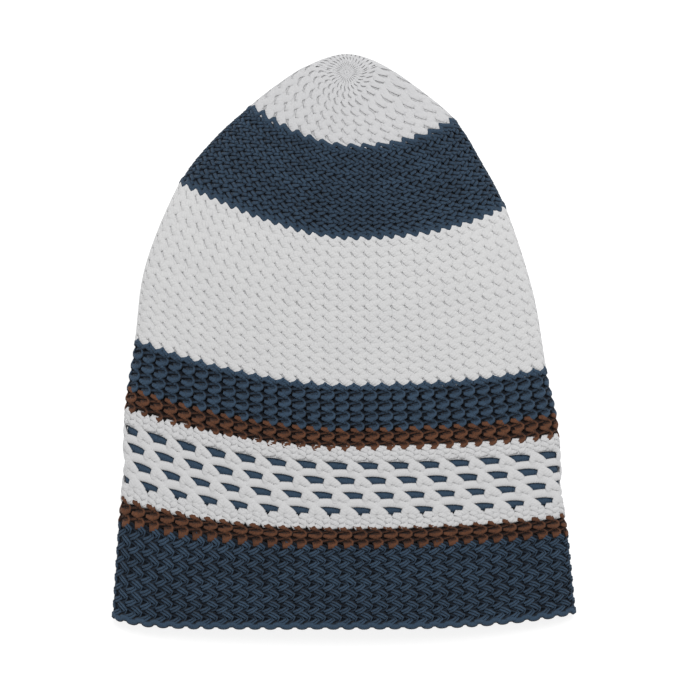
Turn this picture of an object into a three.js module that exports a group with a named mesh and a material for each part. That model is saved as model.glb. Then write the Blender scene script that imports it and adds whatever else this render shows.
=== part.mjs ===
// Kufi: a brimless cap knitted in one tube of thick yarn, gathered to a point at the crown.
// It lies on its back layer, crown towards +Y, head opening towards -Y, front layer up.
// Millimetres, +Z up. The origin is the middle of the underside of the whole cap.
//
// The cap is one closed surface. A point of it has two coordinates:
//   height  how much fabric lies between it and the rim, along the front (0 at the rim)
//   turn    how far round the tube it is, from 0 to 1, by length of fabric: 0 at the left
//           fold, 0.25 in the middle of the front, 0.5 at the right fold, 0.75 on the back
// Every band of colour is a shell of that surface between two heights.

import * as THREE from 'three';

// ---------------------------------------------------------------- driving dimensions

const WALL = 3.6; // a knitted wall is two yarns thick
const NET_WALL = 2.0; // the open net is one yarn thick
const BAND_GAP = 0.3; // clear gap between neighbouring bands
const POINTS_AROUND = 54; // corners round a plain band
const FOLD_CROWDING = 0.55; // how much those corners crowd into the two folds
const LENS_POWER = 1.25; // shape of the puffed front layer, across its width
const REST_OVERSHOOT = 1.03; // how flat the back layer lies: above 1 it has a true flat
const LAYER_SAMPLES = 240; // steps along a layer by which its fabric length is measured
const POLE_RING = 1.5; // fabric from the pole to the ring whose mean normal is the pole's

// The net: windows in staggered rows, with a round of yarn behind each row
const WINDOWS_AROUND = 30;
const WINDOW_STEPS = 4; // columns in one window and the bar beside it
const WINDOW_COLUMNS = 2; // how many of those columns are open
const WINDOW_ROWS = 4;
const WINDOW_HEIGHT = 3.0;
const WINDOW_PITCH = 5.75; // from one row of windows to the next
const LOWEST_WINDOW = 5.0; // solid net below the lowest row
const STRAND_HEIGHT = 3.6;
const STRAND_THICKNESS = 1.4;

// Heights of the borders between the colours
const BRIM_TOP = 34.8;
const LOWER_PINSTRIPE_TOP = 43.0;
const NET_TOP = 73.7;
const UPPER_PINSTRIPE_TOP = 83.3;
const UPPER_BAND_TOP = 101.3;
const SIDE_TOP = 160.7;
const CROWN_STRIPE_TOP = 201.5;
const POLE = 233.0;

// The form: one row for each section round the cap. x and y are where the section folds at its
// left and right, y also where it crosses the middle of the front and of the back, z the level
// of its front, folds and back, round the radius of the fold's upper half, and bow how sharply
// the front and back curve away from the two folds.
const SECTIONS = table(
  ['height', 'xLeft', 'xRight', 'yLeft', 'yRight', 'yFront', 'yBack',
    'zFront', 'zFold', 'zBack', 'round', 'bowLeft', 'bowRight'],
  [
    [0, -95.2, 95.2, -112.8, -110.8, -116.8, -102.2, 19.0, 5.8, 0, 4.6, 9.0, 3.0],
    [BRIM_TOP, -92.6, 92.0, -73.6, -78.3, -83.1, -67.6, 20.0, 6.0, 0, 4.8, 2.1, 1.8],
    [LOWER_PINSTRIPE_TOP, -91.6, 90.7, -64.0, -71.1, -75.9, -59.5, 20.5, 6.0, 0, 4.8, 2.3, 2.0],
    [NET_TOP, -90.0, 88.3, -27.9, -38.9, -43.9, -28.9, 22.5, 6.2, 0, 5.0, 1.8, 2.4],
    [UPPER_PINSTRIPE_TOP, -89.0, 87.2, -18.8, -29.5, -35.8, -19.4, 23.3, 6.3, 0, 5.0, 1.7, 2.3],
    [UPPER_BAND_TOP, -85.8, 83.1, -0.3, -11.9, -18.7, -1.6, 25.0, 6.5, 0, 5.2, 1.7, 2.4],
    [131.0, -81.4, 77.4, 30.9, 20.4, 11.4, 29.9, 28.0, 7.0, 0, 5.6, 1.6, 2.5],
    [SIDE_TOP, -67.2, 66.1, 65.2, 55.2, 42.0, 61.4, 30.0, 7.5, 0, 6.0, 1.5, 2.6],
    [181.5, -53.9, 56.3, 82.4, 73.9, 60.4, 81.9, 29.0, 8.2, 0, 5.5, 1.5, 3.0],
    [CROWN_STRIPE_TOP, -38.7, 45.5, 96.2, 90.7, 79.2, 99.9, 25.5, 9.0, 0, 5.0, 1.8, 2.4],
    [211.0, -26.0, 32.0, 106.0, 102.2, 88.9, 112.0, 22.5, 9.8, 0, 3.8, 1.8, 2.8],
    [219.0, -14.2, 16.2, 112.8, 112.2, 97.0, 117.5, 19.3, 10.8, 5.2, 2.4, 2.0, 2.2],
    [226.5, -5.6, 8.0, 110.8, 110.6, 103.8, 115.4, 16.0, 12.0, 9.6, 1.2, 2.0, 2.0],
    [POLE, 1.2, 1.2, 109.8, 109.8, 109.8, 109.8, 12.8, 12.8, 12.8, 0, 2.0, 2.0],
  ],
);

// The bands: one row for each piece that is knitted in one colour
const BANDS = table(
  ['name', 'bottom', 'top', 'rows', 'yarn'],
  [
    ['brim_band', 0, BRIM_TOP, 2, 'navy'],
    ['lower_pinstripe', BRIM_TOP, LOWER_PINSTRIPE_TOP, 1, 'brown'],
    ['upper_pinstripe', NET_TOP, UPPER_PINSTRIPE_TOP, 1, 'brown'],
    ['upper_band', UPPER_PINSTRIPE_TOP, UPPER_BAND_TOP, 1, 'navy'],
    ['side_panel', UPPER_BAND_TOP, SIDE_TOP, 4, 'white'],
    ['crown_stripe', SIDE_TOP, CROWN_STRIPE_TOP, 3, 'navy'],
    ['crown_tip', CROWN_STRIPE_TOP, POLE, 4, 'white'],
  ],
);

const YARNS = {
  navy: new THREE.MeshStandardMaterial({ color: 0x2e3e4d, roughness: 0.92, metalness: 0 }),
  brown: new THREE.MeshStandardMaterial({ color: 0x784b32, roughness: 0.92, metalness: 0 }),
  white: new THREE.MeshStandardMaterial({ color: 0xd6d6d4, roughness: 0.92, metalness: 0 }),
};

// ---------------------------------------------------------------- the cap's surface

/** Turns a list of columns and rows of values into one object for each row. */
function table(columns, rows) {
  return rows.map((row) => Object.fromEntries(columns.map((column, i) => [column, row[i]])));
}

/** Smooth values of every column of the section table at one height. */
function sectionAt(height) {
  const last = SECTIONS.length - 1;
  let i = SECTIONS.findIndex((section) => section.height > height) - 1;
  if (i < 0) i = last - 1;
  const [a, b] = [SECTIONS[i], SECTIONS[i + 1]];
  const span = b.height - a.height;
  const t = (height - a.height) / span;
  const section = {};
  for (const column of Object.keys(a)) {
    const slopeA = slopeOf(column, i) * span;
    const slopeB = slopeOf(column, i + 1) * span;
    section[column] = a[column] * (2 * t ** 3 - 3 * t ** 2 + 1) + b[column] * (3 * t ** 2 - 2 * t ** 3)
      + slopeA * (t ** 3 - 2 * t ** 2 + t) + slopeB * (t ** 3 - t ** 2);
  }
  return section;
}

/** Slope of a column at row i: the chord over its neighbours, or to the one neighbour at an end. */
function slopeOf(column, i) {
  const before = SECTIONS[Math.max(i - 1, 0)];
  const after = SECTIONS[Math.min(i + 1, SECTIONS.length - 1)];
  return (after[column] - before[column]) / (after.height - before.height);
}

/** A point of one section. angle runs from 0 at the left fold over the front to pi and back. */
function sectionPoint(section, angle) {
  const halfWidth = (section.xRight - section.xLeft) / 2;
  const across = -Math.cos(angle);
  const isFront = Math.sin(angle) >= 0;
  const [yFold, bow] = across < 0
    ? [section.yLeft, section.bowLeft]
    : [section.yRight, section.bowRight];
  const yFar = isFront ? section.yFront : section.yBack;
  const y = yFar + (yFold - yFar) * Math.abs(across) ** bow;

  const roundPower = Math.max(2, 2 * halfWidth / section.zFold);
  const foldRound = Math.sqrt(Math.max(0, 1 - Math.abs(across) ** roundPower));
  let z;
  if (isFront) {
    const puff = section.zFront - section.zFold - section.round;
    z = section.zFold + section.round * foldRound + puff * (1 - across ** 2) ** LENS_POWER;
  } else {
    const fallen = Math.min(1, REST_OVERSHOOT * foldRound);
    z = section.zFold + (Math.max(0, section.zBack) - section.zFold) * fallen;
  }
  return new THREE.Vector3((section.xLeft + section.xRight) / 2 + halfWidth * across, y, z);
}

/** Points of the cap's outside at one height, spaced by fabric length for each given turn. */
function ringAt(height, turns) {
  const section = sectionAt(height);
  const layers = [0, Math.PI].map((start) => {
    const points = [];
    const lengths = [0];
    for (let i = 0; i <= LAYER_SAMPLES; i += 1) {
      points.push(sectionPoint(section, start + (Math.PI * i) / LAYER_SAMPLES));
      if (i > 0) lengths.push(lengths[i - 1] + points[i].distanceTo(points[i - 1]));
    }
    return { points, lengths };
  });
  return turns.map((turn) => {
    const wrapped = (turn % 1 + 1) % 1;
    const { points, lengths } = layers[wrapped < 0.5 ? 0 : 1];
    const target = (wrapped % 0.5) * 2 * lengths[LAYER_SAMPLES];
    let i = lengths.findIndex((length) => length > target) - 1;
    if (i < 0) i = LAYER_SAMPLES - 1;
    const part = (target - lengths[i]) / (lengths[i + 1] - lengths[i]);
    return points[i].clone().lerp(points[i + 1], part);
  });
}

/**
 * Outside points and outward normals at one height, one for each turn. At the end of a band the
 * points stand back from the border, and the normals stay the border's, so that the end faces
 * of two neighbours are parallel.
 */
function skinAt(height, turns, standBack = 0) {
  const up = 0.4; // half of the step along the fabric that gives its slope
  const round = 0.002; // and of the step round the tube
  const points = ringAt(height + standBack, turns);
  const above = ringAt(Math.min(height + up, POLE), turns);
  const below = ringAt(Math.max(height - up, 0), turns);
  const ahead = ringAt(height, turns.map((turn) => turn + round));
  const behind = ringAt(height, turns.map((turn) => turn - round));
  return points.map((point, i) => {
    const along = ahead[i].clone().sub(behind[i]);
    const rise = above[i].clone().sub(below[i]);
    return { point, normal: along.cross(rise).normalize() };
  });
}

/** The pole of the crown: one point, with the mean normal of a small ring round it. */
function skinAtPole() {
  const normal = new THREE.Vector3();
  for (const skin of skinAt(POLE - POLE_RING, evenTurns(POINTS_AROUND))) normal.add(skin.normal);
  return { point: sectionPoint(sectionAt(POLE), 0), normal: normal.normalize() };
}

/** Turns of a plain band's corners, crowded into the two folds. */
function crowdedTurns(count) {
  return evenTurns(count).map(
    (turn) => turn - (FOLD_CROWDING * Math.sin(4 * Math.PI * turn)) / (4 * Math.PI),
  );
}

/** Evenly spaced turns. */
function evenTurns(count) {
  return Array.from({ length: count }, (_, i) => i / count);
}

// ---------------------------------------------------------------- solids

/**
 * A wall between two skins of the cap's surface, as one closed body.
 * levels   the heights of its rows, from the rim's side to the crown's, with their stand-back
 * turns    the places of its columns, all the way round
 * depths   how far its outer and its inner face lie below the cap's outside
 * isOpen   says whether the cell at (row, column) is a window
 * A wall whose last level is the pole closes there in a point.
 */
function wall(levels, turns, depths, isOpen = () => false) {
  const columns = turns.length;
  const closes = levels[levels.length - 1].height === POLE;
  const positions = [];
  const skins = levels.map(({ height, standBack }) => (
    height === POLE ? [skinAtPole()] : skinAt(height, turns, standBack)
  ));
  const faces = depths.map((depth) => skins.map((row) => row.map(({ point, normal }) => {
    const corner = point.clone().addScaledVector(normal, -depth);
    positions.push(corner.x, corner.y, corner.z);
    return positions.length / 3 - 1;
  })));
  const at = (face, row, column) => {
    const ring = faces[face][row];
    return ring[column % ring.length];
  };

  const triangles = [];
  const quad = (a, b, c, d) => {
    if (a !== b && b !== c && a !== c) triangles.push(a, b, c);
    if (a !== c && c !== d && a !== d) triangles.push(a, c, d);
  };
  const rows = levels.length - 1;
  const solid = (row, column) => row >= 0 && row < rows && !isOpen(row, (column + columns) % columns);
  for (let row = 0; row < rows; row += 1) {
    for (let column = 0; column < columns; column += 1) {
      if (!solid(row, column)) continue;
      const next = column + 1;
      quad(at(0, row, column), at(0, row, next), at(0, row + 1, next), at(0, row + 1, column));
      quad(at(1, row, column), at(1, row + 1, column), at(1, row + 1, next), at(1, row, next));
      if (!solid(row - 1, column)) {
        quad(at(0, row, column), at(1, row, column), at(1, row, next), at(0, row, next));
      }
      if (!solid(row + 1, column) && !(closes && row === rows - 1)) {
        quad(at(0, row + 1, column), at(0, row + 1, next), at(1, row + 1, next), at(1, row + 1, column));
      }
      if (!solid(row, column - 1)) {
        quad(at(0, row + 1, column), at(1, row + 1, column), at(1, row, column), at(0, row, column));
      }
      if (!solid(row, next)) {
        quad(at(0, row, next), at(1, row, next), at(1, row + 1, next), at(0, row + 1, next));
      }
    }
  }

  const geometry = new THREE.BufferGeometry();
  geometry.setAttribute('position', new THREE.Float32BufferAttribute(positions, 3));
  geometry.setIndex(triangles);
  geometry.computeVertexNormals();
  return geometry;
}

/** Levels of a band's rows, with the gap that it keeps to its neighbours. */
function bandLevels(bottom, top, rows) {
  const levels = Array.from({ length: rows + 1 }, (_, i) => level(bottom + ((top - bottom) * i) / rows));
  if (bottom > 0) levels[0].standBack = BAND_GAP / 2;
  if (top < POLE) levels[rows].standBack = -BAND_GAP / 2;
  return levels;
}

/** One level of a wall. */
function level(height, standBack = 0) {
  return { height, standBack };
}

/** Height of the lower edge of a row of windows. */
function windowBottom(row) {
  return LOWER_PINSTRIPE_TOP + LOWEST_WINDOW + row * WINDOW_PITCH;
}

/** The net: a thin wall whose rows of windows step on by one column from row to row. */
function netGeometry() {
  const [low, high] = bandLevels(LOWER_PINSTRIPE_TOP, NET_TOP, 1);
  const levels = [low];
  for (let row = 0; row < WINDOW_ROWS; row += 1) {
    levels.push(level(windowBottom(row)), level(windowBottom(row) + WINDOW_HEIGHT));
  }
  levels.push(high);
  const isWindow = (row, column) => {
    const windowRow = (row - 1) / 2;
    if (!Number.isInteger(windowRow) || windowRow < 0 || windowRow >= WINDOW_ROWS) return false;
    return (column + windowRow) % WINDOW_STEPS < WINDOW_COLUMNS;
  };
  return wall(levels, evenTurns(WINDOWS_AROUND * WINDOW_STEPS), [0, NET_WALL], isWindow);
}

/** A round of navy yarn behind one row of windows. */
function strandGeometry(row) {
  const middle = windowBottom(row) + WINDOW_HEIGHT / 2;
  const levels = [level(middle - STRAND_HEIGHT / 2), level(middle + STRAND_HEIGHT / 2)];
  const outer = NET_WALL + BAND_GAP;
  return wall(levels, crowdedTurns(POINTS_AROUND), [outer, outer + STRAND_THICKNESS]);
}

// ---------------------------------------------------------------- assembly

/** A named mesh of one yarn. */
function piece(name, geometry, yarn) {
  const mesh = new THREE.Mesh(geometry, YARNS[yarn]);
  mesh.name = name;
  return mesh;
}

const kufi = new THREE.Group();
kufi.name = 'kufi';
for (const { name, bottom, top, rows, yarn } of BANDS) {
  const levels = bandLevels(bottom, top, rows);
  kufi.add(piece(name, wall(levels, crowdedTurns(POINTS_AROUND), [0, WALL]), yarn));
}
kufi.add(piece('mesh_band', netGeometry(), 'white'));
for (let row = 0; row < WINDOW_ROWS; row += 1) {
  kufi.add(piece(`mesh_strand_${row + 1}`, strandGeometry(row), 'navy'));
}

export default kufi;
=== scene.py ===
"""A kufi knitted in navy, white and brown yarn, lying flat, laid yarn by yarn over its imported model.

Every band of the cap is knitted here as real courses: one closed run of yarn for each course,
bent into stitches that interlock with the courses above and below. A course is worked out flat,
in fabric coordinates, and then wrapped round the cap:

    turn    0 at the left fold, 0.25 mid front, 0.5 at the right fold, 0.75 mid back
    height  millimetres of fabric above the rim
    depth   millimetres below the cap's outside

Lengths are millimetres in fabric coordinates and metres in the finished meshes.
"""

import logging
from dataclasses import astuple, dataclass, field, fields, replace
from enum import Enum

import bpy
import numpy as np
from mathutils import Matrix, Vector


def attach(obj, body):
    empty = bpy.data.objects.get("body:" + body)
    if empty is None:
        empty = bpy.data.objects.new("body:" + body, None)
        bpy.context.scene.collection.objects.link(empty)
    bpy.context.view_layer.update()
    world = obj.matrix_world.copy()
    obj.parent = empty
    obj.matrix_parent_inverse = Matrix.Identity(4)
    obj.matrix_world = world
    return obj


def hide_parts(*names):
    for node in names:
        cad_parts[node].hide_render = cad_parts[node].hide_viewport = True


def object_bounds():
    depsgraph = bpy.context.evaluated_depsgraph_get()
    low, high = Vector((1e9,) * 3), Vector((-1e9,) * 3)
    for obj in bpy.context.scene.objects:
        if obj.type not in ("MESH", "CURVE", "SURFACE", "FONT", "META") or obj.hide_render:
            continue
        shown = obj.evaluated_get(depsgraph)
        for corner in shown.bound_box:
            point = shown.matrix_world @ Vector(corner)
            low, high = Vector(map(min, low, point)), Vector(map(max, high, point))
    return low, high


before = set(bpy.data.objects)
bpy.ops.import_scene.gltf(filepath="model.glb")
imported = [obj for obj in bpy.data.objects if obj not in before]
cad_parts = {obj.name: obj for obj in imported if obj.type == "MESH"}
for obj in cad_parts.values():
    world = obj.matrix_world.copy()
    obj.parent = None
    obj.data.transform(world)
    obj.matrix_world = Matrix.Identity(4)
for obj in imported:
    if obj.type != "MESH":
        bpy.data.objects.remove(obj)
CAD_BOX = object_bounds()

Array = np.ndarray

MM = 0.001
TAU = 2 * np.pi
BODY = "root"

LOG = logging.getLogger("kufi")


# ---------------------------------------------------------------- the form of the cap


@dataclass(frozen=True)
class Section:
    """One section round the lying cap, in millimetres.

    x and y are where it folds at the left and right, y also where it crosses the middle of the
    front and of the back, z the level of its front, folds and back, rounding the radius of the
    fold's upper half, and bow how sharply the two layers curve away from the folds.
    """

    height: float
    x_left: float
    x_right: float
    y_left: float
    y_right: float
    y_front: float
    y_back: float
    z_front: float
    z_fold: float
    z_back: float
    rounding: float
    bow_left: float
    bow_right: float


# Heights of the bands' edges, in millimetres of fabric above the rim.
RIM_YARN = 0.8  # middle of the yarn that binds the rim
BRIM_BOTTOM = 1.2
BRIM_TOP = 34.8
LOWER_PINSTRIPE_TOP = 43.0
NET_TOP = 73.7
UPPER_PINSTRIPE_TOP = 83.3
UPPER_BAND_TOP = 101.3
SIDE_TOP = 160.7
CROWN_STRIPE_TOP = 201.5
TIP_TOP = 232.0
POLE = 233.0

WALES = 62  # stitches round the cap
CROWN_WALES = WALES // 2  # and round its gathered top
CROWN_TEETH = 34  # teeth round the top of the crown stripe
TEETH_GAP = 0.8  # fabric that a white band leaves to the navy teeth below it
TEETH_INSET = 0.4  # how far inside the crown stripe its teeth have their middle
PEAK_RISE = 0.1  # how far above the navy band its teeth have theirs

SECTIONS = (
    Section(0.0, -95.2, 95.2, -112.8, -110.8, -116.8, -102.2, 19.0, 5.8, 0.0, 4.6, 9.0, 3.0),
    Section(BRIM_TOP, -92.6, 92.0, -73.6, -78.3, -83.1, -67.6, 20.0, 6.0, 0.0, 4.8, 2.1, 1.8),
    Section(LOWER_PINSTRIPE_TOP, -91.6, 90.7, -64, -71.1, -75.9, -59.5, 20.5, 6.0, 0.0, 4.8, 2.3, 2.0),
    Section(NET_TOP, -90.0, 88.3, -27.9, -38.9, -43.9, -28.9, 22.5, 6.2, 0.0, 5.0, 1.8, 2.4),
    Section(UPPER_PINSTRIPE_TOP, -89, 87.2, -18.8, -29.5, -35.8, -19.4, 23.3, 6.3, 0.0, 5.0, 1.7, 2.3),
    Section(UPPER_BAND_TOP, -85.8, 83.1, -0.3, -11.9, -18.7, -1.6, 25.0, 6.5, 0.0, 5.2, 1.7, 2.4),
    Section(131.0, -81.4, 77.4, 30.9, 20.4, 11.4, 29.9, 28.0, 7.0, 0.0, 5.6, 1.6, 2.5),
    Section(SIDE_TOP, -67.2, 66.1, 65.2, 55.2, 42.0, 61.4, 30.0, 7.5, 0.0, 6.0, 1.5, 2.6),
    Section(181.5, -53.9, 56.3, 82.4, 73.9, 60.4, 81.9, 29.0, 8.2, 0.0, 5.5, 1.5, 3.0),
    Section(CROWN_STRIPE_TOP, -38.7, 45.5, 96.2, 90.7, 79.2, 99.9, 25.5, 9.0, 0.0, 5.0, 1.8, 2.4),
    Section(211.0, -26.0, 32.0, 106.0, 102.2, 88.9, 112.0, 22.5, 9.8, 0.0, 3.8, 1.8, 2.8),
    Section(219.0, -14.2, 16.2, 112.8, 112.2, 97.0, 117.5, 19.3, 10.8, 5.2, 2.4, 2.0, 2.2),
    Section(226.5, -5.6, 8.0, 110.8, 110.6, 103.8, 115.4, 16.0, 12.0, 9.6, 1.2, 2.0, 2.0),
    Section(POLE, 1.2, 1.2, 109.8, 109.8, 109.8, 109.8, 12.8, 12.8, 12.8, 0.0, 2.0, 2.0),
)


@dataclass
class CapForm:
    """The outside of the cap, tabulated so that any point of the fabric can be placed on it."""

    lens_power: float = 1.25  # shape of the puffed front layer, across its width
    rest_overshoot: float = 1.03  # how flat the back layer lies: above 1 it has a true flat
    lowest: float = -6.0  # the table starts a little below the rim
    highest: float = 232.9  # and ends just short of the pole, where the rings shrink to a point
    row_step: float = 0.6
    columns_per_layer: int = 480
    samples_per_layer: int = 960
    points: Array = field(init=False)
    normals: Array = field(init=False)
    girths: Array = field(init=False)
    heights: Array = field(init=False)

    def __post_init__(self) -> None:
        """Tabulates points, outward normals and the girth of every ring."""
        rows = int(round((self.highest - self.lowest) / self.row_step)) + 1
        self.heights = np.linspace(self.lowest, self.highest, rows)
        sections = self._sections_at(self.heights)
        front, front_length = self._layer(sections, is_front=True)
        back, back_length = self._layer(sections, is_front=False)
        self.points = np.concatenate([front, back], axis=1)
        self.girths = front_length + back_length
        along = np.roll(self.points, -1, axis=1) - np.roll(self.points, 1, axis=1)
        rise = np.gradient(self.points, axis=0)
        normals = np.cross(along, rise)
        length = np.linalg.norm(normals, axis=2, keepdims=True)
        self.normals = normals / np.maximum(length, 1e-9)

    def _sections_at(self, heights: Array) -> dict[str, Array]:
        """Smooth values of every column of the section table.

        Between two rows a value is the cubic that meets both rows with the slope of the chord
        over their neighbours, or of the only chord at an end.

        Args:
            heights: The heights wanted, in millimetres.

        Returns:
            One array for each column, by name, shaped to a column vector.
        """
        rows = np.array([astuple(section) for section in SECTIONS])
        before = np.maximum(np.arange(len(rows)) - 1, 0)
        after = np.minimum(np.arange(len(rows)) + 1, len(rows) - 1)
        slopes = (rows[after] - rows[before]) / (rows[after, :1] - rows[before, :1])
        i = np.clip(np.searchsorted(rows[:, 0], heights, side="right") - 1, 0, len(rows) - 2)
        span = (rows[i + 1, 0] - rows[i, 0])[:, None]
        t = (heights - rows[i, 0])[:, None] / span
        values = (
            rows[i] * (2 * t**3 - 3 * t**2 + 1)
            + rows[i + 1] * (3 * t**2 - 2 * t**3)
            + slopes[i] * span * (t**3 - 2 * t**2 + t)
            + slopes[i + 1] * span * (t**3 - t**2)
        )
        return {column.name: values[:, k, None] for k, column in enumerate(fields(Section))}

    def _layer(self, s: dict[str, Array], is_front: bool) -> tuple[Array, Array]:
        """Points of the front or the back layer at every height, evenly spaced along the fabric.

        Across the layer x runs as a cosine from fold to fold. y leaves the middle of the layer
        for each fold by a power of x. z is a rounded fold, and over it on the front a lens, a
        power of one minus x squared; on the back the round falls to a flat at rest.

        Args:
            s: The columns of the section table at every height.
            is_front: True for the front layer, False for the back one.

        Returns:
            The points, heights by columns by three, and the layer's length at every height.
        """
        angle = np.linspace(0, np.pi, self.samples_per_layer + 1)[None, :]
        across = -np.cos(angle) if is_front else np.cos(angle)
        half_width = (s["x_right"] - s["x_left"]) / 2
        power = np.where(across < 0, s["bow_left"], s["bow_right"])
        y_fold = np.where(across < 0, s["y_left"], s["y_right"])
        y_far = s["y_front"] if is_front else s["y_back"]
        y = y_far + (y_fold - y_far) * np.abs(across) ** power
        round_power = np.maximum(2, 2 * half_width / s["z_fold"])
        fold_round = np.sqrt(np.maximum(0, 1 - np.abs(across) ** round_power))
        if is_front:
            puff = s["z_front"] - s["z_fold"] - s["rounding"]
            z = s["z_fold"] + s["rounding"] * fold_round + puff * (1 - across**2) ** self.lens_power
        else:
            fallen = np.minimum(1, self.rest_overshoot * fold_round)
            z = s["z_fold"] + (np.maximum(0, s["z_back"]) - s["z_fold"]) * fallen
        x = (s["x_left"] + s["x_right"]) / 2 + half_width * across
        points = np.stack([x, y, z], axis=2)
        steps = np.linalg.norm(np.diff(points, axis=1), axis=2)
        lengths = np.concatenate([np.zeros((len(steps), 1)), np.cumsum(steps, axis=1)], axis=1)
        shares = np.arange(self.columns_per_layer) / self.columns_per_layer
        spaced = np.empty((len(points), self.columns_per_layer, 3))
        for row, (line, length) in enumerate(zip(points, lengths)):
            for axis in range(3):
                spaced[row, :, axis] = np.interp(shares * length[-1], length, line[:, axis])
        return spaced, lengths[:, -1]

    def girth(self, height: float) -> float:
        """Length of fabric once round the cap at a height, in millimetres."""
        return float(np.interp(height, self.heights, self.girths))

    def place(self, height: Array, turn: Array, depth: Array) -> Array:
        """Puts points of the fabric on the cap.

        A point is read from the table between its four neighbours, and moved inwards along the
        normal by its depth.

        Args:
            height: Millimetres of fabric above the rim.
            turn: Share of the way round the cap.
            depth: Millimetres below the outside.

        Returns:
            Points in metres, with a last axis of three.
        """
        rows, columns = self.points.shape[:2]
        r = np.clip((height - self.lowest) / self.row_step, 0, rows - 1.001)
        c = (turn % 1.0) * columns
        r0 = r.astype(int)
        c0 = c.astype(int) % columns
        c1 = (c0 + 1) % columns
        fr = (r - r0)[..., None]
        fc = (c - np.floor(c))[..., None]

        def blend(table: Array) -> Array:
            """Mean of four table entries, weighted by nearness.

            Args:
                table: The table, heights by turns by three.

            Returns:
                The mean for every point.
            """
            low = table[r0, c0] * (1 - fc) + table[r0, c1] * fc
            high = table[r0 + 1, c0] * (1 - fc) + table[r0 + 1, c1] * fc
            return low * (1 - fr) + high * fr

        normal = blend(self.normals)
        normal /= np.maximum(np.linalg.norm(normal, axis=-1, keepdims=True), 1e-9)
        return (blend(self.points) - normal * depth[..., None]) * MM


# ---------------------------------------------------------------- yarns and their finish


def math_node(
    tree: bpy.types.NodeTree, operation: str, *inputs: bpy.types.NodeSocket | float
) -> bpy.types.NodeSocket:
    """Adds a Math node to a material.

    Args:
        tree: The material's nodes.
        operation: What the node works out.
        *inputs: What goes into it, in order: numbers, or the sockets that feed it.

    Returns:
        The socket that gives the node's result.
    """
    node = tree.nodes.new("ShaderNodeMath")
    node.operation = operation
    for socket, value in zip(node.inputs, inputs):
        if isinstance(value, bpy.types.NodeSocket):
            tree.links.new(value, socket)
        else:
            socket.default_value = value
    return node.outputs[0]


@dataclass(frozen=True)
class YarnFinish:
    """The look of one colour of yarn: plied, matt and a little fuzzy."""

    name: str
    slot: str
    colour: tuple[float, float, float]
    shadow: tuple[float, float, float]  # painted shadow colour that the tone mixes in, also for the deeper tone of fibres and stitches
    sheen: float
    relief: float  # strength of the bump that plies and fibres make
    crevice: float  # painted shade: how much darker yarn is made where it lies deep in the wall
    flank: float  # and painted shade down the sides of a strand
    roughness: float = 0.9
    specular: float = 0.25
    sheen_roughness: float = 0.6
    plies: int = 3
    lay: float = 3.4  # millimetres of yarn in one turn of the plies
    ply_height: float = 0.25  # height of the plies' wave, beside 1 for the fibres' noise
    bump_height: float = 0.0004  # metres that a height of 1 stands out
    fibre_scale: float = 1400.0
    fibre_detail: float = 3.0
    fibre_tone: float = 0.45  # tone that the fibres' noise adds

    def material(self) -> bpy.types.Material:
        """Makes the node material, or finds it if it was made before.

        Fine noise in Object coordinates is the fibres. It goes into the bump and the colour.

        Returns:
            The material.
        """
        known = bpy.data.materials.get(self.name)
        if known is not None:
            return known
        made = bpy.data.materials.new(self.name)
        made.use_nodes = True
        tree = made.node_tree
        shader = tree.nodes["Principled BSDF"]
        shader.inputs["Roughness"].default_value = self.roughness
        shader.inputs["Specular IOR Level"].default_value = self.specular
        shader.inputs["Sheen Weight"].default_value = self.sheen
        shader.inputs["Sheen Roughness"].default_value = self.sheen_roughness
        place = tree.nodes.new("ShaderNodeTexCoord")
        fibre = tree.nodes.new("ShaderNodeTexNoise")
        fibre.inputs["Scale"].default_value = self.fibre_scale
        fibre.inputs["Detail"].default_value = self.fibre_detail
        tree.links.new(place.outputs["Object"], fibre.inputs["Vector"])
        tree.links.new(self._plied_normal(tree, fibre.outputs["Fac"]), shader.inputs["Normal"])
        tree.links.new(self._dye(tree, fibre.outputs["Fac"]), shader.inputs["Base Color"])
        return made

    def _plied_normal(
        self, tree: bpy.types.NodeTree, fibre: bpy.types.NodeSocket
    ) -> bpy.types.NodeSocket:
        """Bump of the plies and fibres.

        Along the yarn the UV's first coordinate is millimetres, and round it the second runs
        from 0 to 1. The plies are a sine of the slanted sum of the two.

        Args:
            tree: The material's nodes.
            fibre: The fibres' noise.

        Returns:
            The socket that gives the normal.
        """
        uv = tree.nodes.new("ShaderNodeUVMap")
        uv.uv_map = "UVMap"
        split = tree.nodes.new("ShaderNodeSeparateXYZ")
        tree.links.new(uv.outputs["UV"], split.inputs[0])
        around = math_node(tree, "MULTIPLY", split.outputs["Y"], TAU)
        turns = math_node(tree, "MULTIPLY_ADD", split.outputs["X"], TAU / self.lay, around)
        wave = math_node(tree, "SINE", math_node(tree, "MULTIPLY", turns, float(self.plies)))
        height = math_node(tree, "MULTIPLY_ADD", wave, self.ply_height, fibre)
        bump = tree.nodes.new("ShaderNodeBump")
        bump.inputs["Strength"].default_value = self.relief
        bump.inputs["Distance"].default_value = self.bump_height
        tree.links.new(height, bump.inputs["Height"])
        return bump.outputs["Normal"]

    def _dye(self, tree: bpy.types.NodeTree, fibre: bpy.types.NodeSocket) -> bpy.types.NodeSocket:
        """Colour of the yarn, from its plain colour at tone 0 to its painted shadow at tone 1.

        Args:
            tree: The material's nodes.
            fibre: The fibres' noise, which adds to the tone that each point has as an attribute.

        Returns:
            The socket that gives the colour.
        """
        tone = tree.nodes.new("ShaderNodeAttribute")
        tone.attribute_name = "tone"
        # tone with the fibres' noise, clamped: how far the colour goes toward the painted shadow
        depth = math_node(tree, "MULTIPLY_ADD", fibre, self.fibre_tone, tone.outputs["Fac"])
        depth.node.use_clamp = True
        mix = tree.nodes.new("ShaderNodeMix")
        mix.data_type = "RGBA"
        mix.inputs["A"].default_value = (*self.colour, 1)
        mix.inputs["B"].default_value = (*self.shadow, 1)
        tree.links.new(depth, mix.inputs["Factor"])
        return mix.outputs["Result"]


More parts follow.
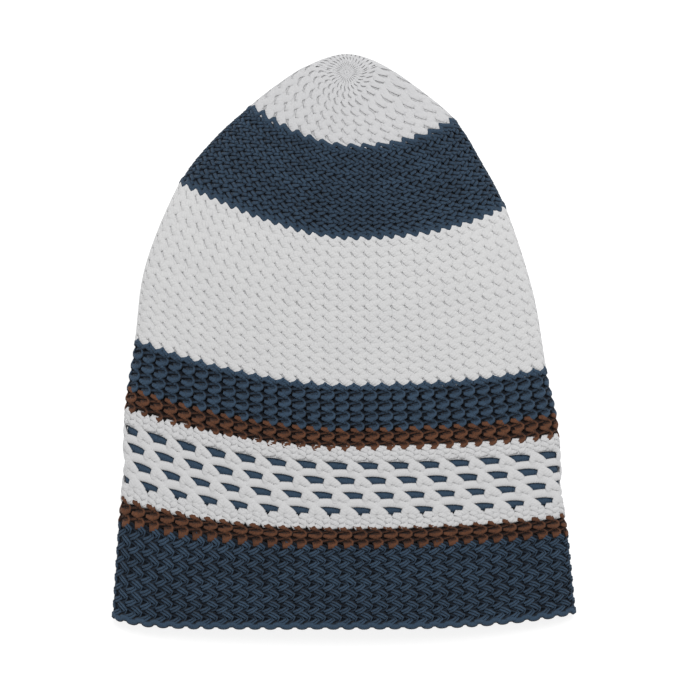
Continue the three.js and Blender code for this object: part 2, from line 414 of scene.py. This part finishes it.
class Yarn(Enum):
    """The three colours that the cap is knitted in."""

    WHITE = YarnFinish(
        name="white_wool", slot="white_yarn", colour=(0.71, 0.71, 0.71), shadow=(0.6, 0.6, 0.61),
        sheen=0.1, relief=0.4, crevice=0.4, flank=0.12,
    )
    NAVY = YarnFinish(
        name="navy_wool", slot="navy_yarn", colour=(0.052, 0.096, 0.156), shadow=(0.004, 0.009, 0.018),
        sheen=0.05, relief=1.0, crevice=1.5, flank=0.6,
    )
    BROWN = YarnFinish(
        name="brown_wool", slot="brown_yarn", colour=(0.21, 0.084, 0.04), shadow=(0.018, 0.007, 0.005),
        sheen=0.05, relief=1.0, crevice=1.5, flank=0.6,
    )


# ---------------------------------------------------------------- stitches and courses


LEG_END_SCALE = 2.6  # brings cos * sin^2 to 1 at its greatest


@dataclass(frozen=True)
class Stitch:
    """The path of the yarn through one stitch, and its thickness.

    With p the phase through the stitch, from 0 at its head to half a turn at its foot, and
    end = 2.6 * cos(p) * sin(p)^2, which is 1 near the leg's upper end and -1 near its lower one:
        across = share of the stitch + sway * sin(2p) - gather * sin(p) + shift * cos(p)
        up     = rise * cos(p + skew) + lean * cos(2p)
        out    = tip * end - dive * cos(2p)
        width  = plain width * (1 - flare * end - slim * cos(p)^4)
    Across is in stitches and the rest in millimetres.
    """

    sway: float
    rise: float
    dive: float
    skew: float
    width: float  # radius of the yarn as it is seen, squeezed flat by its neighbours
    thickness: float  # radius of the yarn through the wall
    tip: float = 0.0
    shift: float = 0.0
    gather: float = 0.0
    flare: float = 0.0
    slim: float = 0.0
    lean: float = 0.0
    strands: int = 1  # strands that lie side by side in the yarn
    points: int = 14  # points of the path in one stitch
    sides: int = 8  # sides of the tube
    uneven_across: float = 0.35  # share of its unevenness that moves a stitch across
    uneven_up: float = 0.5  # and the share that moves it up

    def path(self, count: int, rng: np.random.Generator, uneven: float) -> tuple[Array, Array, Array]:
        """The yarn's middle line round a whole course.

        Args:
            count: Stitches in the course.
            rng: Source of the small differences between stitches.
            uneven: How much stitches differ, as a share of their size.

        Returns:
            Places across (in stitches), up and out (in millimetres).
        """
        share = np.arange(count * self.points) / self.points
        phase = TAU * share
        knots = np.arange(count)

        def wander(size: float) -> Array:
            """A value for each stitch, running smoothly into the next one's."""
            return np.interp(share, knots, rng.normal(0, size, count), period=count)

        across = share + self.sway * np.sin(2 * phase) - self.gather * np.sin(phase)
        across = across + self.shift * np.cos(phase) + wander(uneven * self.uneven_across)
        up = self.rise * (1 + wander(uneven)) * np.cos(phase + self.skew)
        up = up + self.lean * np.cos(2 * phase)
        up = up + wander(uneven * abs(self.rise) * self.uneven_up)
        out = self.tip * self._end(phase) - self.dive * np.cos(2 * phase)
        return across, up, out

    def widths(self, count: int, scale: float) -> Array:
        """Half width of the yarn in the fabric round a whole course.

        Args:
            count: Stitches in the course.
            scale: How much wider the yarn is than its plain width.

        Returns:
            The half width at every point, in millimetres.
        """
        phase = TAU * np.arange(count * self.points) / self.points
        return self.width * scale * (1 - self.flare * self._end(phase) - self.slim * np.cos(phase) ** 4)

    @staticmethod
    def _end(phase: Array) -> Array:
        """1 near the upper end of a leg, -1 near its lower end, 0 at head, foot and middle."""
        return LEG_END_SCALE * np.cos(phase) * np.sin(phase) ** 2


OPENWORK = Stitch(  # the brim's herringbone rib
    sway=0.39, rise=2.2, dive=0.6, skew=0.75, width=1.1, thickness=0.85,
    tip=-0.15, gather=-0.05, strands=2, points=12, sides=6,
)
RIBBED = Stitch(  # the ribs of the navy band and the brown stripes, with deep gaps between
    sway=0.42, rise=2.3, dive=0.5, skew=1.15, width=1.25, thickness=0.8,
    tip=0.15, shift=-0.05, gather=0.1, flare=0.4, slim=0.45, lean=0.4, points=16,
)
BASKET = Stitch(  # the crown stripe's close stitch, which looks woven
    sway=0.42, rise=1.7, dive=0.95, skew=0.65, width=2.1, thickness=1.15,
    tip=-0.65, shift=-0.05, gather=-0.1, flare=0.05, slim=0.1, lean=0.25,
    strands=2, points=12, sides=6,
)
CLOSE_KNIT = Stitch(  # the white panel's flat stitch, with slanting slits
    sway=0.4, rise=2.2, dive=0.12, skew=-0.45, width=1.95, thickness=0.35,
    tip=-0.05, gather=0.1, flare=0.25, slim=0.35, lean=-0.4,
)
CROWN_KNIT = replace(CLOSE_KNIT, dive=0.18, thickness=0.42)
NET_MARGIN = Stitch(  # the plain courses above and below the net's windows
    sway=0.33, rise=1.3, dive=0.15, skew=0.6, width=1.15, thickness=0.4,
    tip=-0.1, flare=0.2, points=12, sides=6,
)
NET_LOOP = Stitch(  # one loop of the net for each window
    sway=0.19, rise=-2.95, dive=0.3, skew=0.0, width=1.6, thickness=0.6,
    gather=0.2, slim=0.1, points=22, sides=10,
)
BOUND_RIM = Stitch(  # a scallop of the yarn that binds the rim
    sway=0.05, rise=0.5, dive=0.0, skew=0.0, width=1.35, thickness=1.2, points=12, sides=6,
)
PEAK = Stitch(  # a tooth at the top of the navy band
    sway=-0.07, rise=0.75, dive=0.0, skew=0.0, width=1.0, thickness=0.9, slim=-0.3, sides=6,
)
TOOTH = Stitch(  # and one at either edge of the crown stripe
    sway=-0.03, rise=0.9, dive=0.0, skew=0.0, width=1.0, thickness=0.9, shift=-0.15, slim=-0.2,
)


@dataclass(frozen=True)
class Course:
    """Where one run of yarn lies on the cap."""

    height: float
    stitches: int
    depth: float  # depth of the path's zero
    start: float  # stitches by which it starts round from the left fold


@dataclass
class YarnMesh:
    """Tubes of yarn gathered into one mesh."""

    form: CapForm
    crevice: float  # painted shade added where yarn lies deep in the wall
    flank: float  # painted shade added down the sides of a strand
    deep_from: float = 0.5  # depth at which the painted crevice shade sets in
    deep_over: float = 1.4  # and further depth at which it is full
    deep_power: float = 1.5
    overlap: float = 1.12  # how much strands side by side are widened to overlap
    web_row: float = 2.5  # fabric between the rows of a web
    web_columns: int = 240
    web_thickness: float = 0.5
    # the web is painted in the full shadow colour, as shade in the gaps between stitches
    web_tone: float = 1.2
    vertices: list[Array] = field(default_factory=list)
    faces: list[Array] = field(default_factory=list)
    uvs: list[Array] = field(default_factory=list)
    tones: list[Array] = field(default_factory=list)
    count: int = 0

    def add_loop(
        self,
        course: Course,
        path: tuple[Array, Array, Array],
        radii: tuple[Array, Array],
        sides: int,
        tone: Array,
        strands: int = 1,
    ) -> None:
        """Adds one closed run of yarn round the cap.

        Args:
            course: Where it lies.
            path: Places across (in stitches), up and out (in millimetres).
            radii: The yarn's half width in the fabric and through it, at every point.
            sides: Sides of each tube.
            tone: Tone of the yarn at every point, 0 for its plain colour.
            strands: Strands side by side in the yarn, each a tube of its own that overlaps
                its neighbour a little.
        """
        across, up, out = path
        pitch = self.form.girth(course.height) / course.stitches
        line = np.stack([across * pitch, up, out], axis=1)
        wrap = np.array([course.stitches * pitch, 0, 0])
        longer = np.concatenate([line[-1:] - wrap, line, line[:1] + wrap])
        tangent = longer[2:] - longer[:-2]
        tangent /= np.linalg.norm(tangent, axis=1, keepdims=True)
        side = np.cross([0.0, 0.0, 1.0], tangent)
        side /= np.maximum(np.linalg.norm(side, axis=1, keepdims=True), 1e-6)
        steps = np.linalg.norm(longer[2:] - longer[1:-1], axis=1)
        travelled = np.concatenate([[0], np.cumsum(steps)])
        half = radii[0] / strands
        wide = half * (1.0 if strands == 1 else self.overlap)
        for strand in range(strands):
            middle = line + side * (half * (2 * strand + 1 - strands))[:, None]
            self._add_tube(course, (middle, tangent, side), (wide, radii[1]), sides, tone, travelled)

    def _add_tube(
        self,
        course: Course,
        frames: tuple[Array, Array, Array],
        radii: tuple[Array, Array],
        sides: int,
        tone: Array,
        travelled: Array,
    ) -> None:
        """Adds one closed tube round the cap.

        The tube is swept in flat fabric: at each point of the path an ellipse stands across the
        path, one axis in the fabric and the other through it. Each of its points then goes
        round the cap, across by turn, up by height and out by depth.

        Args:
            course: Where it lies.
            frames: The tube's middle line in flat fabric, its direction, and the direction
                across it in the fabric.
            radii: The ellipse's half width in the fabric and through it, at every point.
            sides: Sides of the tube.
            tone: Tone of the yarn at every point.
            travelled: Length of yarn up to every point, and one more for the whole.
        """
        line, tangent, side = frames
        over = np.cross(tangent, side)
        angle = TAU * np.arange(sides) / sides
        rim = (
            line[:, None]
            + side[:, None] * (radii[0][:, None] * np.cos(angle))[..., None]
            + over[:, None] * (radii[1][:, None] * np.sin(angle))[..., None]
        )
        pitch = self.form.girth(course.height) / course.stitches
        turn = (rim[..., 0] / pitch + course.start) / course.stitches
        depth = course.depth - rim[..., 2]
        points = self.form.place(course.height + rim[..., 1], turn, depth)
        # painted shade: darker the deeper the yarn lies in the wall, and down the sides of each strand
        deep = np.clip((depth - self.deep_from) / self.deep_over, 0, 1) ** self.deep_power
        tones = tone[:, None] + deep * self.crevice + self.flank * (1 - np.sin(angle))
        self._add_ring(points, travelled, np.arange(sides + 1) / sides, tones)

    def add_web(self, bottom: float, top: float, depth: float) -> None:
        """Adds the mass of yarn behind the stitches, a plain shell that closes their gaps, painted in the
        shadow colour as shade.

        A shell between two depths, closed at its lower and upper edge: the outer wall goes up,
        the inner wall comes down, and the last row joins the first.

        Args:
            bottom: Height of the lower edge.
            top: Height of the upper edge.
            depth: Depth of the outer wall.
        """
        rows = max(3, int((top - bottom) / self.web_row))
        rise = np.linspace(bottom, top, rows)
        height = np.concatenate([rise, rise[::-1]])
        wall = np.repeat([depth, depth + self.web_thickness], rows)
        turn = np.arange(self.web_columns) / self.web_columns
        points = self.form.place(*np.broadcast_arrays(height[:, None], turn, wall[:, None]))
        # painted shade: the web takes the full shadow colour
        tones = np.full(points.shape[:2], self.web_tone)
        self._add_ring(points, np.arange(2 * rows + 1), np.arange(self.web_columns + 1), tones)

    def _add_ring(self, points: Array, u: Array, v: Array, tones: Array) -> None:
        """Adds a surface that closes on itself both ways, as a tube does that is bent into a ring.

        Every four neighbouring points of the grid make a face. After the last row comes the
        first one, and so with the columns.

        Args:
            points: The grid, rows by columns by three, in metres.
            u: The UV's first coordinate in every row, and one more for the end.
            v: The UV's second coordinate in every column, and one more for the end.
            tones: The tone of every point.
        """
        rows, columns = tones.shape
        i = np.arange(rows)[:, None]
        j = np.arange(columns)[None, :]
        corners = ((i, j), (i, j + 1), (i + 1, j + 1), (i + 1, j))
        quads = np.stack([(row % rows) * columns + column % columns for row, column in corners], axis=-1)
        uv = np.stack(
            [np.stack(np.broadcast_arrays(u[row], v[column]), axis=-1) for row, column in corners],
            axis=2,
        )
        self.vertices.append(points.reshape(-1, 3))
        self.faces.append(quads.reshape(-1, 4) + self.count)
        self.uvs.append(uv.reshape(-1, 2))
        self.tones.append(tones.ravel())
        self.count += rows * columns

    def to_object(self, name: str) -> bpy.types.Object:
        """Makes the mesh object from all that was gathered.

        Args:
            name: The object's name.

        Returns:
            The object, linked to the scene, at the origin.
        """
        vertices = np.concatenate(self.vertices).astype(np.float32)
        faces = np.concatenate(self.faces).astype(np.int32)
        mesh = bpy.data.meshes.new(name)
        mesh.vertices.add(len(vertices))
        mesh.vertices.foreach_set("co", vertices.ravel())
        mesh.loops.add(faces.size)
        mesh.loops.foreach_set("vertex_index", faces.ravel())
        mesh.polygons.add(len(faces))
        mesh.polygons.foreach_set("loop_start", np.arange(0, faces.size, 4, dtype=np.int32))
        mesh.update(calc_edges=True)
        mesh.uv_layers.new(name="UVMap").uv.foreach_set(
            "vector", np.concatenate(self.uvs).astype(np.float32).ravel()
        )
        tone = mesh.attributes.new("tone", "FLOAT", "POINT")
        tone.data.foreach_set("value", np.concatenate(self.tones).astype(np.float32))
        mesh.shade_smooth()
        mesh.validate()
        made = bpy.data.objects.new(name, mesh)
        bpy.context.scene.collection.objects.link(made)
        return made


def dress(piece: bpy.types.Object, yarn: Yarn, *nodes: str) -> None:
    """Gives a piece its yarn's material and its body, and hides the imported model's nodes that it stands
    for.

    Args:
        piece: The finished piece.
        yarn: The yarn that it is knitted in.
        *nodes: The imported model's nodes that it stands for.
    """
    piece.data.materials.append(yarn.value.material())
    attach(piece, BODY)
    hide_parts(*nodes)
    LOG.info("%s: %d faces of %s", piece.name, len(piece.data.polygons), yarn.value.name)


@dataclass(frozen=True)
class Edging:
    """A run of yarn that zigzags along the edge of a band, each stitch a tooth."""

    height: float
    teeth: int
    stitch: Stitch
    start: float  # teeth by which it starts round from the left fold
    proud: float = 0.15  # how far it stands out over the neighbouring yarn
    uneven: float = 0.12

    def lay(self, mesh: YarnMesh, shade: float) -> None:
        """Adds the edging to a mesh.

        Args:
            mesh: The mesh of the band that it edges.
            shade: The painted shade that all the band's yarn has, as a tone.
        """
        rng = np.random.default_rng([self.teeth, int(self.height)])
        across, up, out = self.stitch.path(self.teeth, rng, self.uneven)
        width = self.stitch.widths(self.teeth, 1.0)
        thickness = np.full(len(across), self.stitch.thickness)
        course = Course(self.height, self.teeth, self.stitch.thickness - self.proud, self.start)
        tone = np.full(len(across), shade)
        mesh.add_loop(course, (across, up, out), (width, thickness), self.stitch.sides, tone)


@dataclass
class KnitBand:
    """A band of plain courses in one colour of yarn."""

    name: str
    node: str
    yarn: Yarn
    bottom: float
    top: float
    courses: int
    stitch: Stitch
    seed: int
    wales: int = WALES
    full_pitch: float = 5.9  # pitch at which the yarn has its full width
    squeeze: float = 0.5  # power by which the yarn narrows where the wales crowd
    uneven: float = 0.05
    start: float = 0.76  # stitches by which every course starts round from the left fold
    web_depth: float = 2.0
    web_margin: float = 0.5  # how far the web keeps back from the band's edges
    shade: float = 0.0  # painted shade: tone toward the shadow colour that all its yarn has, dimming the whole band
    palest: float = -0.1  # least and greatest change of tone between stitches
    deepest: float = 0.15
    edgings: tuple[Edging, ...] = ()

    def knit(self, mesh: YarnMesh, first: int, last: int) -> None:
        """Adds courses, and the web behind them.

        Args:
            mesh: The mesh that they go into.
            first: Number of the first course, 0 being the band's lowest.
            last: Number of the course that comes after the last one.
        """
        course_height = (self.top - self.bottom) / self.courses
        for number in range(first, last):
            rng = np.random.default_rng([self.seed, number])
            height = self.bottom + (number + 0.5) * course_height
            across, up, out = self.stitch.path(self.wales, rng, self.uneven)
            narrow = min(1.0, mesh.form.girth(height) / self.wales / self.full_pitch) ** self.squeeze
            width = self.stitch.widths(self.wales, narrow)
            out = out * narrow
            thickness = np.full(len(across), self.stitch.thickness * narrow)
            tone = np.interp(
                np.arange(len(across)) / self.stitch.points,
                np.arange(self.wales),
                self.shade + rng.uniform(self.palest, self.deepest, self.wales),
                period=self.wales,
            )
            course = Course(height, self.wales, float(out.max() + thickness[0]), self.start)
            mesh.add_loop(
                course, (across, up, out), (width, thickness),
                self.stitch.sides, tone, self.stitch.strands,
            )
        low = self.bottom + first * course_height
        high = self.bottom + last * course_height
        mesh.add_web(low + self.web_margin, high - self.web_margin, self.web_depth)

    def build(self, form: CapForm) -> list[bpy.types.Object]:
        """Knits the band as one piece.

        Args:
            form: The cap's outside.

        Returns:
            The piece, in a list.
        """
        mesh = YarnMesh(form, self.yarn.value.crevice, self.yarn.value.flank)
        self.knit(mesh, 0, self.courses)
        for edging in self.edgings:
            edging.lay(mesh, self.shade)
        piece = mesh.to_object(self.name)
        dress(piece, self.yarn, self.node)
        return [piece]


@dataclass
class TallBand(KnitBand):
    """A band too tall for one mesh, knitted as a lower and an upper piece."""

    def build(self, form: CapForm) -> list[bpy.types.Object]:
        """Knits the band as two pieces, one above the other.

        Args:
            form: The cap's outside.

        Returns:
            The lower and the upper piece.
        """
        middle = self.courses // 2
        pieces = []
        for part, first, last in (("lower", 0, middle), ("upper", middle, self.courses)):
            mesh = YarnMesh(form, self.yarn.value.crevice, self.yarn.value.flank)
            self.knit(mesh, first, last)
            piece = mesh.to_object(f"{self.name}_{part}")
            dress(piece, self.yarn, self.node)
            pieces.append(piece)
        return pieces


@dataclass
class GatheredTip(KnitBand):
    """The top of the crown, whose pole is closed by a round of yarn drawn tight."""

    round_height: float = POLE - 0.9  # just above the last course
    round_width: float = 1.2
    round_thickness: float = 0.4
    round_points: int = 60
    round_sides: int = 8

    def knit(self, mesh: YarnMesh, first: int, last: int) -> None:
        """Adds courses, and after them the round at the pole.

        Args:
            mesh: The mesh that they go into.
            first: Number of the first course, 0 being the band's lowest.
            last: Number of the course that comes after the last one.
        """
        super().knit(mesh, first, last)
        across = np.arange(self.round_points) / self.round_points
        flat = np.zeros(self.round_points)
        radii = (flat + self.round_width, flat + self.round_thickness)
        course = Course(self.round_height, 1, self.round_thickness, 0.0)
        mesh.add_loop(course, (across, flat, flat), radii, self.round_sides, flat + self.shade)


@dataclass
class NetBand:
    """The white net: staggered rows of windows between two plain margins."""

    name: str = "net_knit"
    node: str = "mesh_band"
    bottom: float = LOWER_PINSTRIPE_TOP
    top: float = NET_TOP
    rows: int = 4
    row_pitch: float = 5.75
    lowest_row: float = 49.5  # height of the lowest windows' middle
    lower_reach: float = 0.38  # rows' pitches from there down to the lower margin
    upper_reach: float = 0.5  # and from the highest windows' middle up to the upper one
    margin_courses: int = 2
    margin_seed: int = 5
    margin_web: float = 1.0  # depth of the web behind the margins
    windows: int = 30
    stagger: float = 0.25  # how far each row steps back below the one above, in windows
    filling: float = 0.05  # how much wider the yarn is in each row below the top one
    start: float = -0.344  # windows by which the lowest row starts round from the left fold
    uneven: float = 0.03
    shade: float = 0.35  # painted shade: tone toward the shadow colour that all its yarn has, dimming the whole net
    seed: int = 31

    def row_height(self, row: int) -> float:
        """Height of the middle of a row of windows, row 0 being the lowest."""
        return self.lowest_row + row * self.row_pitch

    def build(self, form: CapForm) -> list[bpy.types.Object]:
        """Knits the margins and the window rows into one piece.

        Args:
            form: The cap's outside.

        Returns:
            The piece, in a list.
        """
        mesh = YarnMesh(form, Yarn.WHITE.value.crevice, Yarn.WHITE.value.flank)
        lower_top = self.lowest_row - self.lower_reach * self.row_pitch
        upper_bottom = self.lowest_row + (self.rows - 1 + self.upper_reach) * self.row_pitch
        for part, bottom, top in (
            ("lower", self.bottom, lower_top),
            ("upper", upper_bottom, self.top),
        ):
            margin = KnitBand(
                name=part, node=self.node, yarn=Yarn.WHITE, bottom=bottom, top=top,
                courses=self.margin_courses, stitch=NET_MARGIN, seed=self.margin_seed,
                wales=2 * self.windows, web_depth=self.margin_web, shade=self.shade,
            )
            margin.knit(mesh, 0, margin.courses)
        for row in range(self.rows):
            rng = np.random.default_rng([self.seed, row])
            across, up, out = NET_LOOP.path(self.windows, rng, self.uneven)
            across = across - self.stagger * up / self.row_pitch
            width = NET_LOOP.widths(self.windows, 1 + self.filling * (self.rows - 1 - row))
            thickness = np.full(len(across), NET_LOOP.thickness)
            depth = float(out.max()) + NET_LOOP.thickness
            course = Course(self.row_height(row), self.windows, depth, self.start - self.stagger * row)
            tone = np.full(len(across), self.shade)
            mesh.add_loop(course, (across, up, out), (width, thickness), NET_LOOP.sides, tone)
        piece = mesh.to_object(self.name)
        dress(piece, Yarn.WHITE, self.node)
        return [piece]


@dataclass
class NetStrand:
    """A round of navy yarn that lies behind one row of windows."""

    number: int
    height: float
    half_height: float = 1.9
    half_thickness: float = 0.8
    depth: float = 2.6
    flank: float = 0.35  # tone down its sides, over which the net casts its shade
    points: int = 360
    sides: int = 8

    def build(self, form: CapForm) -> list[bpy.types.Object]:
        """Lays the strand as one closed tube.

        Args:
            form: The cap's outside.

        Returns:
            The piece, in a list.
        """
        mesh = YarnMesh(form, crevice=0.0, flank=self.flank)
        across = np.arange(self.points) / self.points
        flat = np.zeros(self.points)
        radii = (flat + self.half_height, flat + self.half_thickness)
        course = Course(self.height, 1, self.depth, 0.0)
        mesh.add_loop(course, (across, flat, flat), radii, self.sides, flat)
        piece = mesh.to_object(f"net_strand_{self.number}")
        dress(piece, Yarn.NAVY, f"mesh_strand_{self.number}")
        return [piece]


# ---------------------------------------------------------------- floor, light and camera


@dataclass
class Studio:
    """A pale floor, soft light and a camera straight above the cap."""

    floor_size: float = 8.0
    floor_drop: float = 0.0002
    floor_grey: float = 0.5
    floor_roughness: float = 0.9
    floor_glow: float = 0.75  # keeps the floor white under the cap, with a faint shadow only
    sky_strength: float = 0.46
    lamp_size: float = 1.2
    lamp_power: float = 26.0
    lamp_place: tuple[float, float, float] = (0.15, 0.9, 1.9)
    camera_height: float = 2.5
    camera_x: float = 0.00246
    camera_y: float = -0.00367
    view_width: float = 0.28665  # metres that the camera sees across, at the sight level
    sight_level: float = 0.006
    sight_end: float = 20.0
    sensor: float = 36.0

    def build(self) -> None:
        """Sets up floor, lights, camera and plain colour handling."""
        self._floor()
        self._lights()
        self._camera()
        bpy.context.scene.view_settings.view_transform = "Standard"

    def _floor(self) -> None:
        """One large plain square just under the cap."""
        half = self.floor_size / 2
        mesh = bpy.data.meshes.new("floor")
        corners = [(-half, -half, 0), (half, -half, 0), (half, half, 0), (-half, half, 0)]
        mesh.from_pydata(corners, [], [(0, 1, 2, 3)])
        floor = bpy.data.objects.new("floor", mesh)
        floor.location.z = -self.floor_drop
        bpy.context.scene.collection.objects.link(floor)
        paper = bpy.data.materials.new("floor_paper")
        paper.use_nodes = True
        shader = paper.node_tree.nodes["Principled BSDF"]
        shader.inputs["Base Color"].default_value = (self.floor_grey,) * 3 + (1,)
        shader.inputs["Roughness"].default_value = self.floor_roughness
        shader.inputs["Emission Color"].default_value = (1, 1, 1, 1)
        shader.inputs["Emission Strength"].default_value = self.floor_glow
        mesh.materials.append(paper)

    def _lights(self) -> None:
        """A pale sky and one broad lamp over the crown."""
        world = bpy.data.worlds.new("soft_sky")
        bpy.context.scene.world = world
        world.use_nodes = True
        sky = world.node_tree.nodes["Background"]
        sky.inputs["Color"].default_value = (1, 1, 1, 1)
        sky.inputs["Strength"].default_value = self.sky_strength
        lamp = bpy.data.lights.new("key", "AREA")
        lamp.shape = "DISK"
        lamp.size = self.lamp_size
        lamp.energy = self.lamp_power
        key = bpy.data.objects.new("key", lamp)
        key.location = self.lamp_place
        key.rotation_mode = "QUATERNION"
        key.rotation_quaternion = (-key.location).to_track_quat("-Z", "Y")
        bpy.context.scene.collection.objects.link(key)

    def _camera(self) -> None:
        """A long lens looking straight down."""
        lens = bpy.data.cameras.new("camera")
        lens.sensor_width = self.sensor
        lens.lens = self.sensor * (self.camera_height - self.sight_level) / self.view_width
        lens.clip_end = self.sight_end
        camera = bpy.data.objects.new("camera", lens)
        camera.location = (self.camera_x, self.camera_y, self.camera_height)
        bpy.context.scene.collection.objects.link(camera)
        bpy.context.scene.camera = camera


# ---------------------------------------------------------------- the whole cap


def check_form(form: CapForm) -> None:
    """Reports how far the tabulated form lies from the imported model's box, in millimetres.

    Args:
        form: The cap's outside.
    """
    inside = form.heights >= 0
    low = form.points[inside].min(axis=(0, 1)) * MM
    high = form.points[inside].max(axis=(0, 1)) * MM
    gaps = np.abs(np.concatenate([low - np.array(CAD_BOX[0]), high - np.array(CAD_BOX[1])])) / MM
    LOG.info("form against packed box: %s mm apart", np.round(gaps, 2).tolist())


def main() -> None:
    """Knits the cap band by band from the rim up, then sets the studio round it."""
    logging.basicConfig(level=logging.INFO, format="%(name)s %(message)s")
    form = CapForm()
    check_form(form)
    net = NetBand()
    bands = [
        KnitBand(
            name="brim_knit", node="brim_band", yarn=Yarn.NAVY, bottom=BRIM_BOTTOM, top=BRIM_TOP,
            courses=7, stitch=OPENWORK, seed=11, start=0.28, uneven=0.08,
            edgings=(Edging(height=RIM_YARN, teeth=WALES, stitch=BOUND_RIM, start=0.3),),
        ),
        KnitBand(
            name="lower_pinstripe_knit", node="lower_pinstripe", yarn=Yarn.BROWN, bottom=BRIM_TOP,
            top=LOWER_PINSTRIPE_TOP, courses=2, stitch=RIBBED, seed=12, start=0.7, uneven=0.08,
            shade=0.12,
        ),
        net,
        KnitBand(
            name="upper_pinstripe_knit", node="upper_pinstripe", yarn=Yarn.BROWN, bottom=NET_TOP,
            top=UPPER_PINSTRIPE_TOP, courses=2, stitch=RIBBED, seed=13, start=0.7, uneven=0.08,
            shade=0.12,
        ),
        KnitBand(
            name="upper_band_knit", node="upper_band", yarn=Yarn.NAVY, bottom=UPPER_PINSTRIPE_TOP,
            top=UPPER_BAND_TOP, courses=4, stitch=RIBBED, seed=14, start=0.7, uneven=0.08,
            edgings=(Edging(height=UPPER_BAND_TOP + PEAK_RISE, teeth=WALES, stitch=PEAK, start=0.57),),
        ),
        TallBand(
            name="side_panel_knit", node="side_panel", yarn=Yarn.WHITE, bottom=UPPER_BAND_TOP + TEETH_GAP,
            top=SIDE_TOP, courses=14, stitch=CLOSE_KNIT, seed=15, start=0.17, web_depth=0.4,
        ),
        KnitBand(
            name="crown_stripe_knit", node="crown_stripe", yarn=Yarn.NAVY, bottom=SIDE_TOP,
            top=CROWN_STRIPE_TOP, courses=9, stitch=BASKET, seed=16, start=0.35, uneven=0.08, shade=0.12,
            edgings=(
                Edging(height=SIDE_TOP + TEETH_INSET, teeth=WALES, stitch=TOOTH, start=0.3),
                Edging(height=CROWN_STRIPE_TOP - TEETH_INSET, teeth=CROWN_TEETH, stitch=TOOTH, start=0.6),
            ),
        ),
        GatheredTip(
            name="crown_tip_knit", node="crown_tip", yarn=Yarn.WHITE, bottom=CROWN_STRIPE_TOP + TEETH_GAP,
            top=TIP_TOP, courses=8, stitch=CROWN_KNIT, seed=17, wales=CROWN_WALES, full_pitch=6.5,
            squeeze=0.9, web_depth=0.52, shade=0.7,
        ),
    ]
    strands = [NetStrand(row + 1, net.row_height(row)) for row in range(net.rows)]
    pieces = [piece for part in (*bands, *strands) for piece in part.build(form)]
    Studio().build()
    faces = sum(len(piece.data.polygons) for piece in pieces)
    LOG.info("%d pieces, %d triangles", len(pieces), 2 * faces)


if __name__ == "__main__":
    main()
